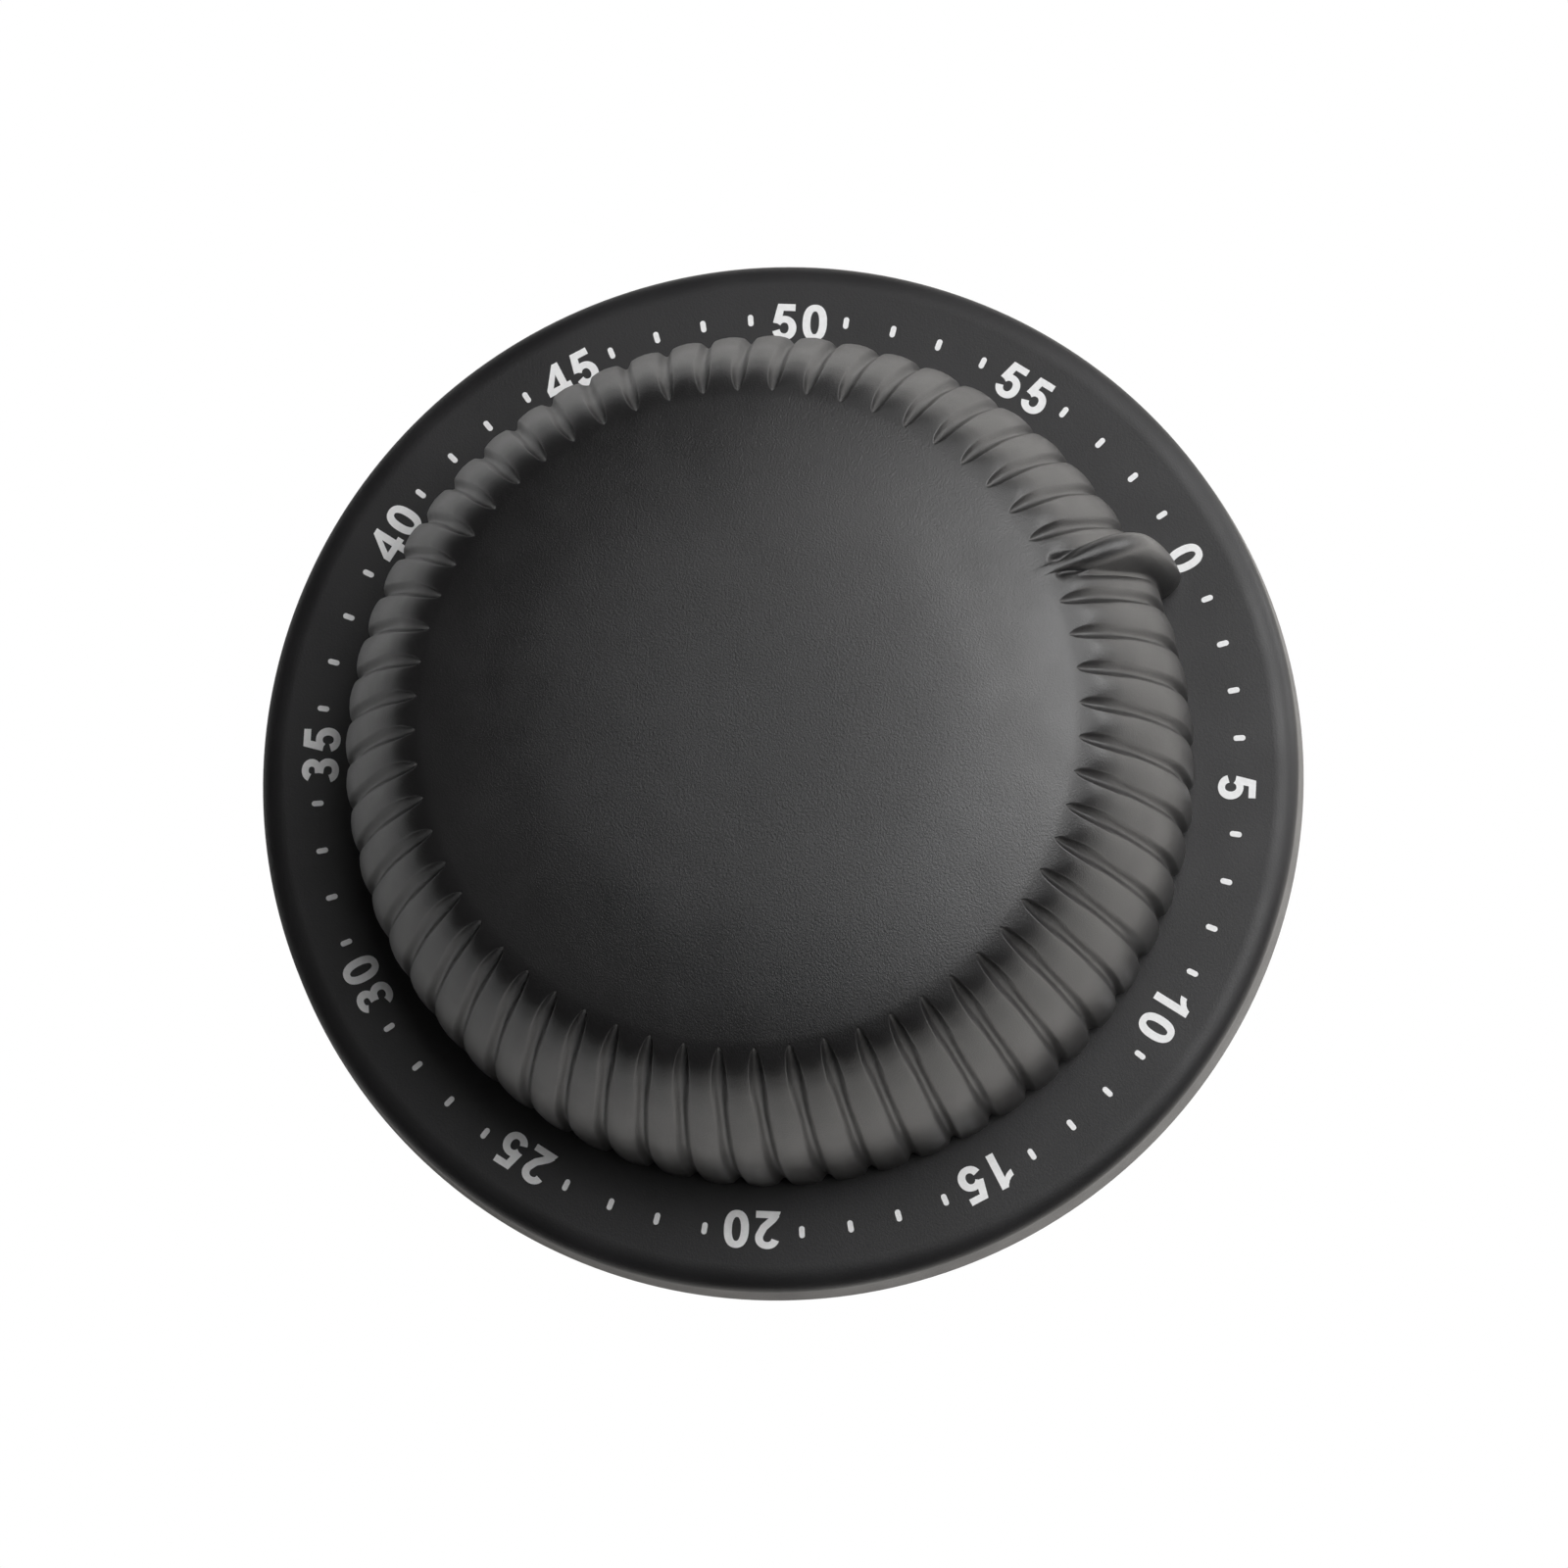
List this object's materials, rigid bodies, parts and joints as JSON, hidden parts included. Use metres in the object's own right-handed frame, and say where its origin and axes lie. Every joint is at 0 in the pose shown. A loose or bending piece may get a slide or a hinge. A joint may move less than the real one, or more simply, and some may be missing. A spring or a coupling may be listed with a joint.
{
  "type": "kitchen timer",
  "caption": "Wind-up kitchen timer: a domed knob with a fluted shoulder and a pointer turns over a round printed dial, with a clockwork movement, a bell and a magnetic back.",
  "frame": {"origin": "centre of the rubber ring's resting face, on the knob's axis", "axes": "+Z along the knob's axis, out of the dial; +Y towards the dial's zero mark; +X towards the 15 minute mark's side"},
  "size_m": [0.0798, 0.0798, 0.0324],
  "materials": {
    "black_plastic": "fine matt grain, moulded, near-black with a slightly warm sheen",
    "grip_rubber": "matt moulded rubber",
    "magnet_ferrite": "ground sintered ferrite, dark grey",
    "plate_steel": "stamped zinc-plated sheet steel, fine rolling grain",
    "brass": "stamped brass, satin",
    "spring_steel": "blued spring steel",
    "bell_steel": "plated drawn steel, bright",
    "steel": "turned steel, satin"
  },
  "bodies": {
    "case": {"front_case": "black_plastic", "rear_cover": "black_plastic", "grip_ring": "grip_rubber", "magnet_1": "magnet_ferrite", "magnet_2": "magnet_ferrite", "magnet_3": "magnet_ferrite", "cover_screw_1": "steel", "cover_screw_2": "steel", "cover_screw_3": "steel", "lower_plate": "plate_steel", "upper_plate": "plate_steel", "pillar_1": "steel", "pillar_2": "steel", "pillar_3": "steel", "pillar_4": "steel", "threaded_bush": "brass", "nut_washer": "steel", "clamping_nut": "steel", "bell": "bell_steel", "bell_post": "steel", "bell_screw": "steel", "stop_post": "steel", "spring_stud": "steel", "mainspring": "spring_steel", "hammer_spring": "spring_steel"},
    "winding_knob": {"knob": "black_plastic", "hub_ring": "spring_steel", "winding_arbor": "steel", "main_wheel": "brass", "ratchet_wheel": "steel", "trip_cam": "brass", "click_pin": "brass", "click_spring": "spring_steel", "stop_pin": "steel", "spring_collar": "steel"},
    "click_pawl": {"click": "steel"},
    "second_shaft": {"second_arbor": "steel", "second_wheel": "brass", "strike_star": "brass"},
    "third_shaft": {"third_arbor": "steel", "third_wheel": "brass"},
    "escape_shaft": {"escape_arbor": "steel", "escape_wheel": "brass"},
    "pallet_balance": {"pallet_arbor": "steel", "pallet_lever": "brass", "pallet_pin_1": "steel", "pallet_pin_2": "steel", "balance_bar": "steel"},
    "striker": {"hammer_arbor": "steel", "hammer_arm": "steel", "hammer_head": "brass", "trip_finger": "steel", "hammer_tail": "steel"}
  },
  "joints": [
    {"name": "knob_turn", "type": "hinge", "parent": "case", "child": "winding_knob", "pos_m": [0, 0, 0.02], "axis": [0, 0, 1], "range_deg": [-350, 0], "stiffness_Nm_per_rad": 0.002, "springref_deg": 57.3},
    {"name": "second_wheel_turn", "type": "hinge", "parent": "case", "child": "second_shaft", "pos_m": [0.01575, 0, 0], "axis": [0, 0, 1], "continuous": true},
    {"name": "third_wheel_turn", "type": "hinge", "parent": "case", "child": "third_shaft", "pos_m": [0.01252, 0.00955, 0], "axis": [0, 0, 1], "continuous": true},
    {"name": "escape_wheel_turn", "type": "hinge", "parent": "case", "child": "escape_shaft", "pos_m": [0.00576, 0.01466, 0], "axis": [0, 0, 1], "continuous": true},
    {"name": "pallet_rock", "type": "hinge", "parent": "case", "child": "pallet_balance", "pos_m": [-0.00065, 0.01574, 0], "axis": [0, 0, 1], "range_deg": [-5, 5]},
    {"name": "hammer_swing", "type": "hinge", "parent": "case", "child": "striker", "pos_m": [0.01208, -0.01087, 0], "axis": [0, 0, 1], "range_deg": [-8, 0], "stiffness_Nm_per_rad": 0.001, "springref_deg": 5.73},
    {"name": "click_pivot", "type": "hinge", "parent": "winding_knob", "child": "click_pawl", "pos_m": [-0.0076, 0, 0], "axis": [0, 0, 1], "range_deg": [-8, 0], "stiffness_Nm_per_rad": 0.0001, "springref_deg": 5.73}
  ],
  "couplings": [
    {"joint": "second_wheel_turn", "follows": "knob_turn", "ratio": -6},
    {"joint": "third_wheel_turn", "follows": "knob_turn", "ratio": 36},
    {"joint": "escape_wheel_turn", "follows": "knob_turn", "ratio": -202.5}
  ]
}
